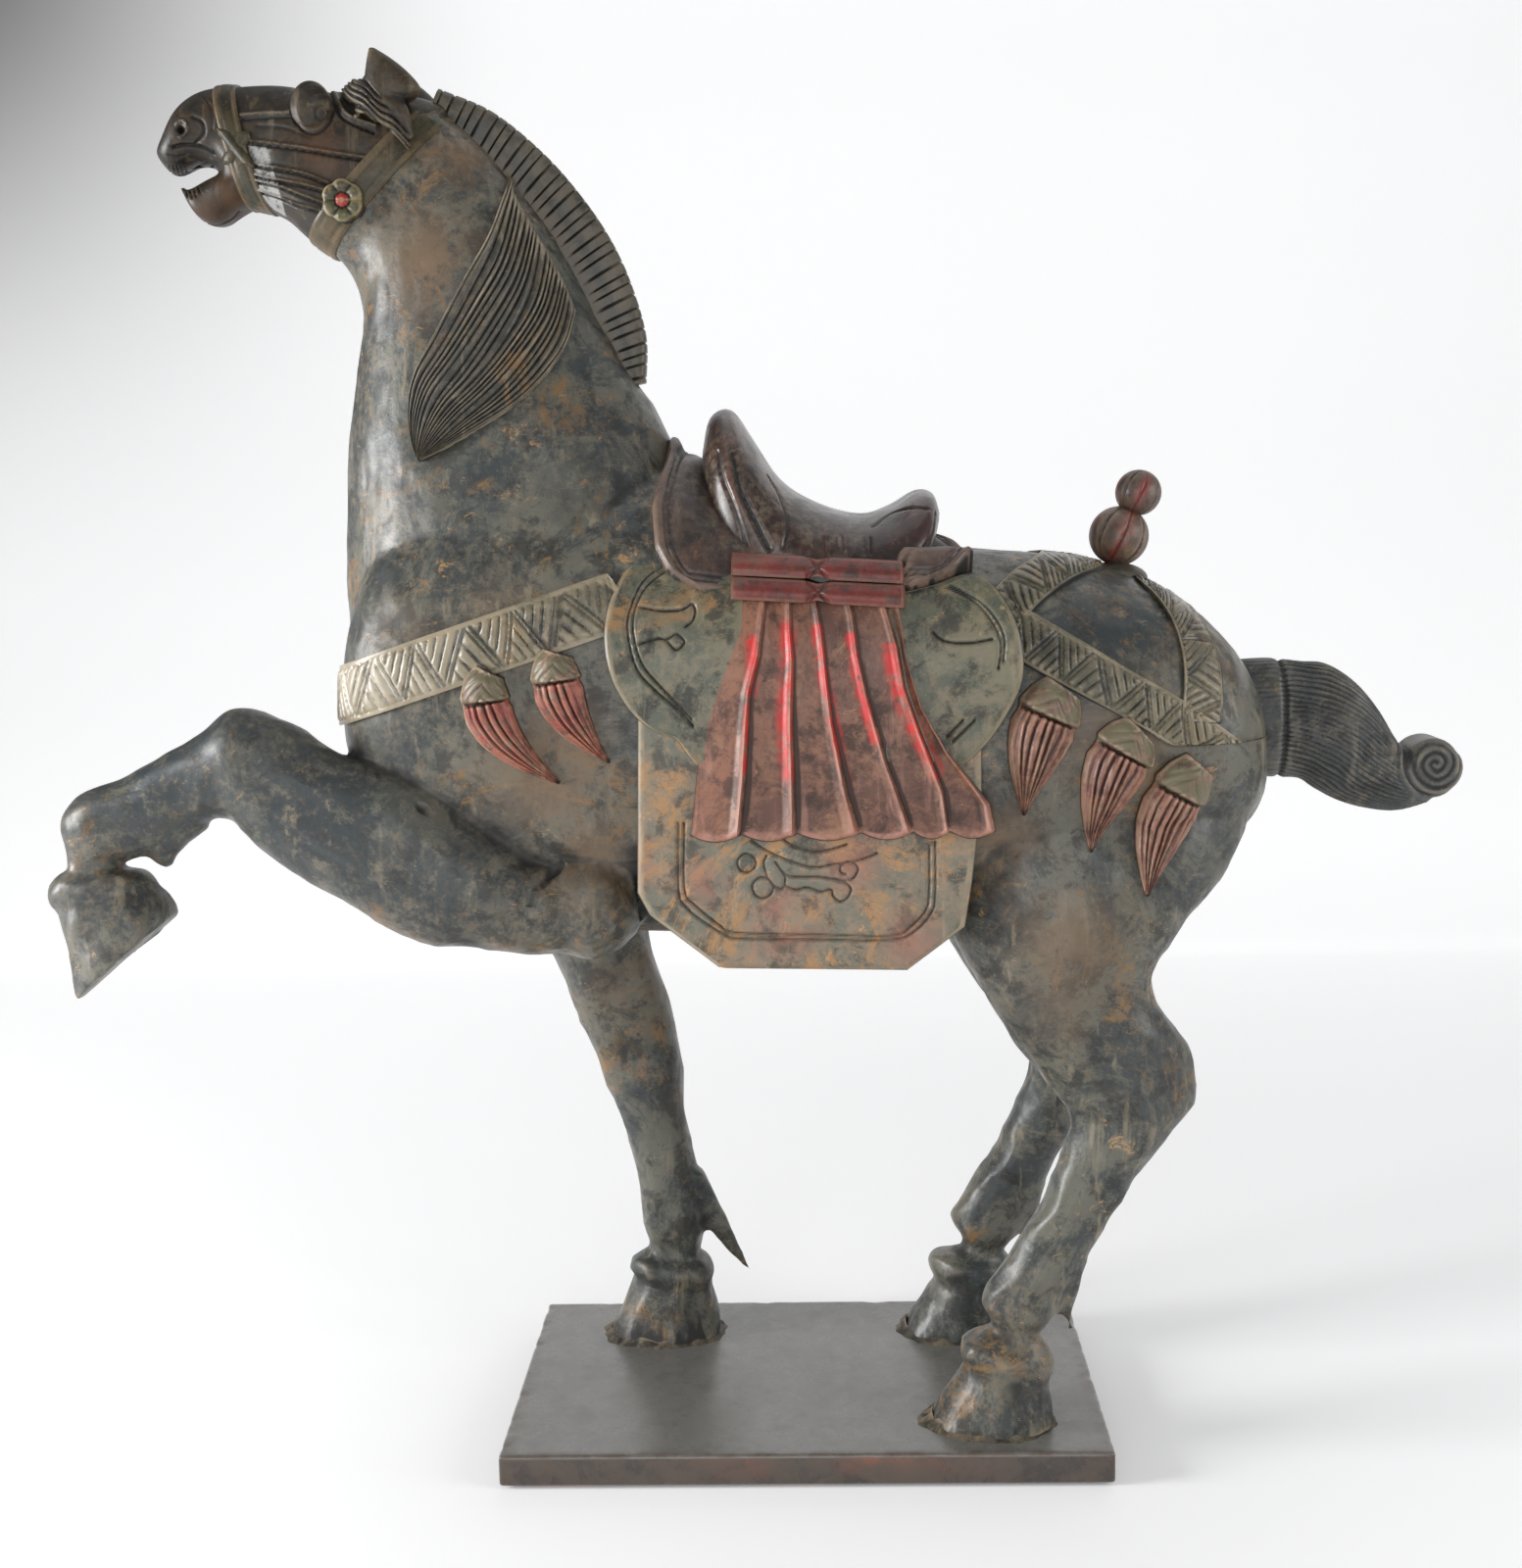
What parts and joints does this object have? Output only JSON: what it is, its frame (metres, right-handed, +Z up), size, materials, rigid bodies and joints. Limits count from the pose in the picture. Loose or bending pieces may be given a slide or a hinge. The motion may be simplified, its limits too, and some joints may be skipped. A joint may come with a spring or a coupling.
{
  "type": "carved wooden horse sculpture",
  "caption": "Carved wooden prancing horse with saddle, tasselled harness and raised foreleg, standing on a rectangular plank base; a free-standing decorative sculpture.",
  "frame": {"origin": "centre of the base's underside", "axes": "+Z up; the horse faces -X along the base's length, and its raised foreleg is on the -Y side"},
  "size_m": [1.2132, 0.3438, 1.1979],
  "materials": {
    "horse_wood": "worn dark blue-grey paint over wood, satin",
    "tail_wood": "dark painted wood, satin",
    "finial_wood": "maroon painted wood, semi-gloss",
    "base_wood": "dark stained wood, worn, semi-gloss"
  },
  "bodies": {
    "root": {"carved_horse": "horse_wood", "tail": "tail_wood", "croup_finial": "finial_wood", "base": "base_wood"}
  },
  "joints": []
}
